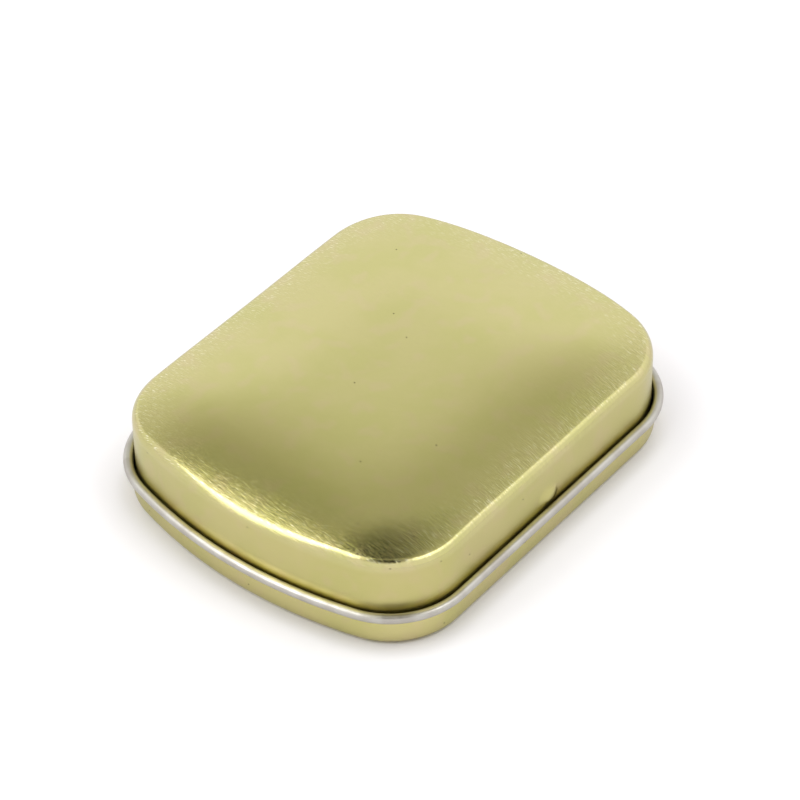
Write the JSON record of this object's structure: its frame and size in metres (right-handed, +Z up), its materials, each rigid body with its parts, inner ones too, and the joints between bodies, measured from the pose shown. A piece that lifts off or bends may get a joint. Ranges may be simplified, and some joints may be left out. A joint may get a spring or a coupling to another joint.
{
  "type": "hinged mint tin",
  "caption": "Pocket mint tin: shallow tray with a rolled rim and a crowned, round-cornered lid that plugs into it and swings up on a rear hinge.",
  "frame": {"origin": "on the table, under the middle of the tray", "axes": "+X along the long sides, +Z up, -Y towards the front with the thumb nose, +Y towards the hinge"},
  "size_m": [0.06, 0.049, 0.014],
  "materials": {
    "bare_tinplate": "satin tinplate, gold lacquer on the outer wall and bottom",
    "gold_lacquer": "satin brushed gold lacquer over tinplate"
  },
  "bodies": {
    "base": {"base_tray": "bare_tinplate"},
    "lid": {"hinged_lid": "gold_lacquer"}
  },
  "joints": [
    {"name": "lid_hinge", "type": "hinge", "parent": "base", "child": "lid", "pos_m": [0, 0.0237, 0.0047], "axis": [-1, 0, 0], "range_deg": [0, 100]}
  ]
}
